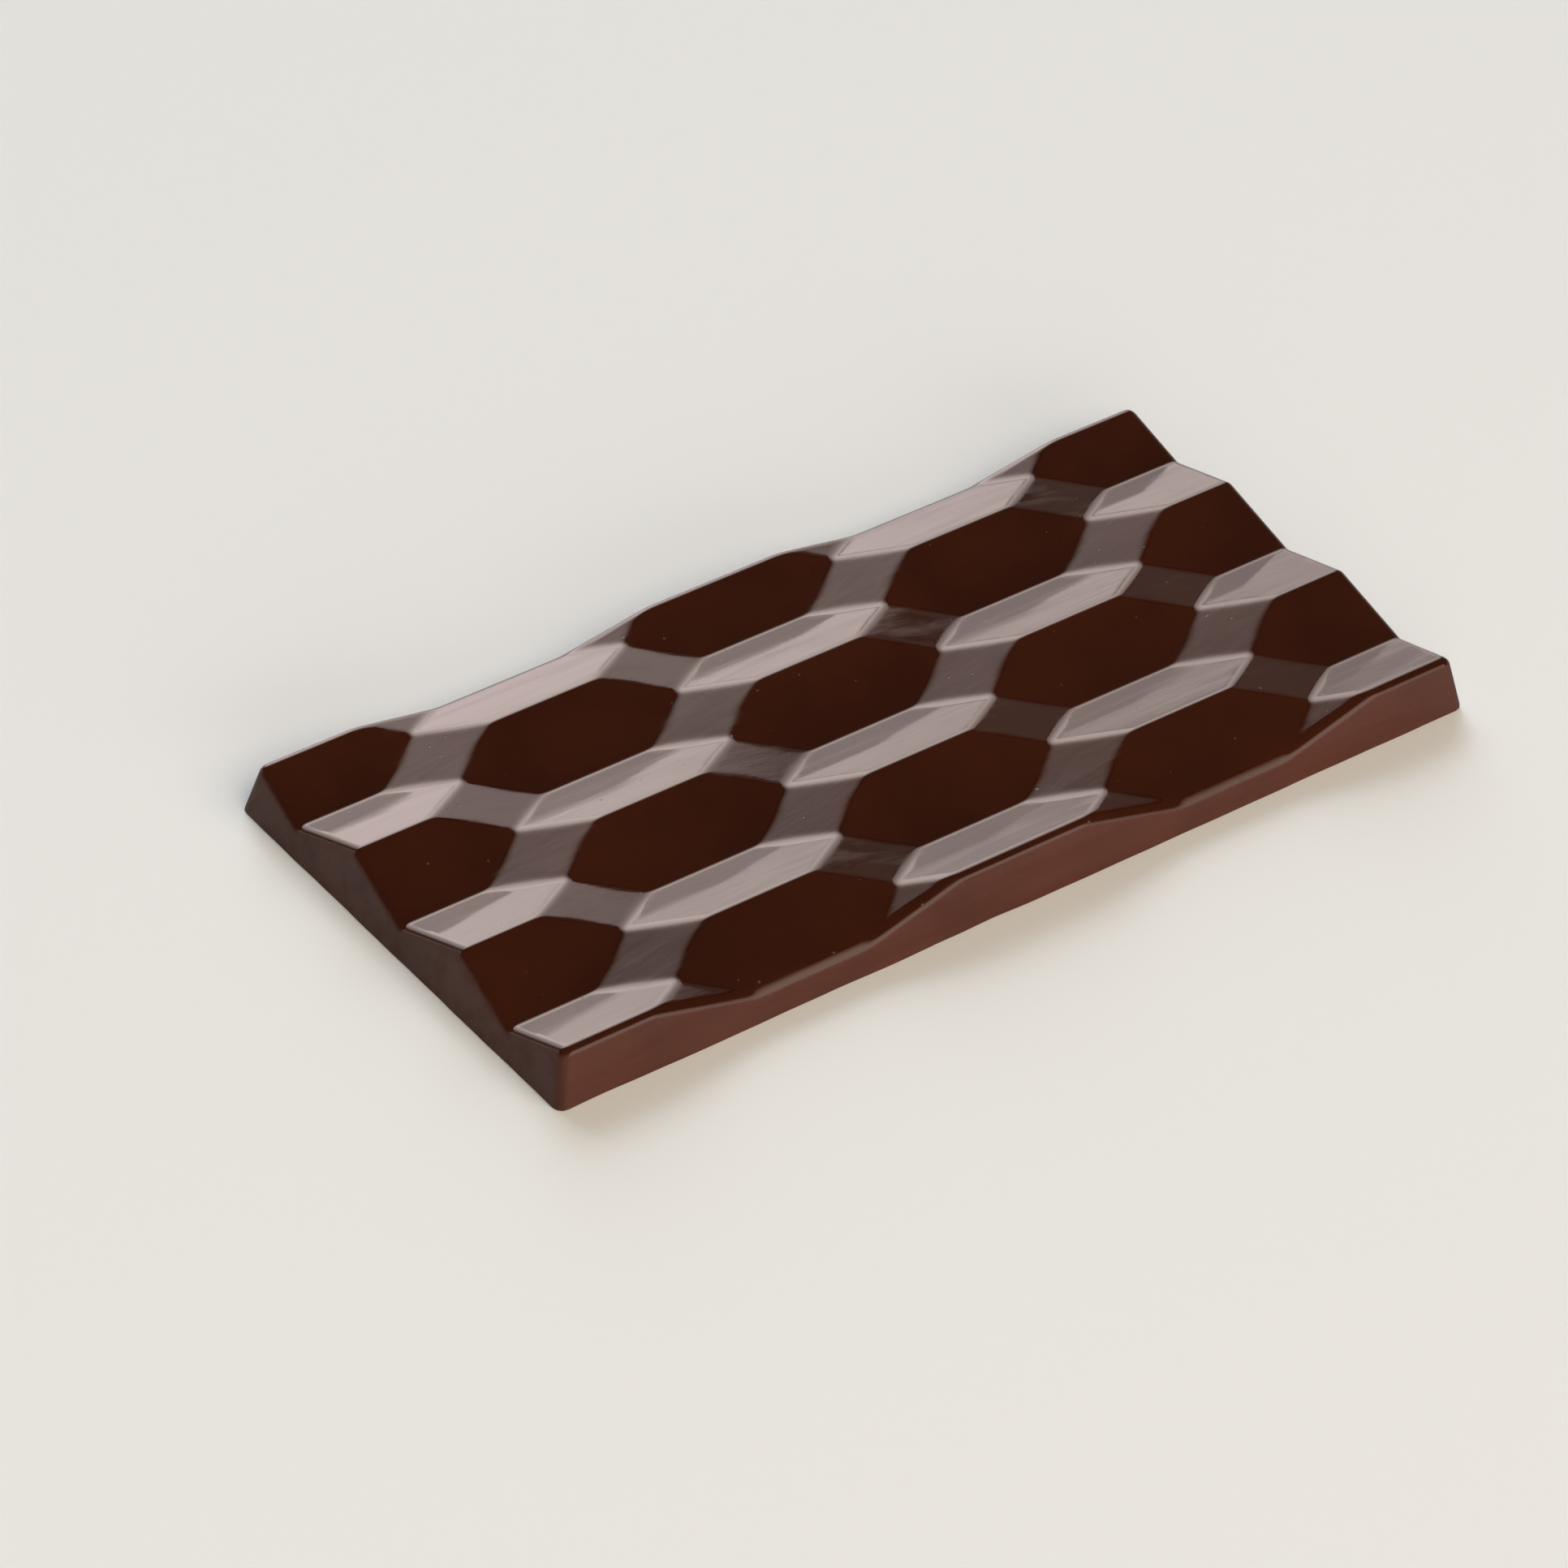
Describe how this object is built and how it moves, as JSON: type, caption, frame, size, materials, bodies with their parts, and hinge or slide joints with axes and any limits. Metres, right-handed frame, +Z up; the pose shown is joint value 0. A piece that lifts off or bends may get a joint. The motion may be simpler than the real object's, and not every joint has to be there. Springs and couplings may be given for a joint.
{
  "type": "chocolate bar",
  "caption": "Moulded slab of dark chocolate with slanting sides and a faceted top of staggered ridges and valleys.",
  "frame": {"origin": "centre of the flat base, on the surface that the bar lies on", "axes": "+X along the bar's length, +Y across its width, +Z up out of the faceted top"},
  "size_m": [0.1548, 0.0764, 0.0091],
  "materials": {
    "dark_chocolate": "satin-gloss dark chocolate as it leaves the mould, near-black brown"
  },
  "bodies": {
    "root": {"chocolate_bar": "dark_chocolate"}
  },
  "joints": []
}
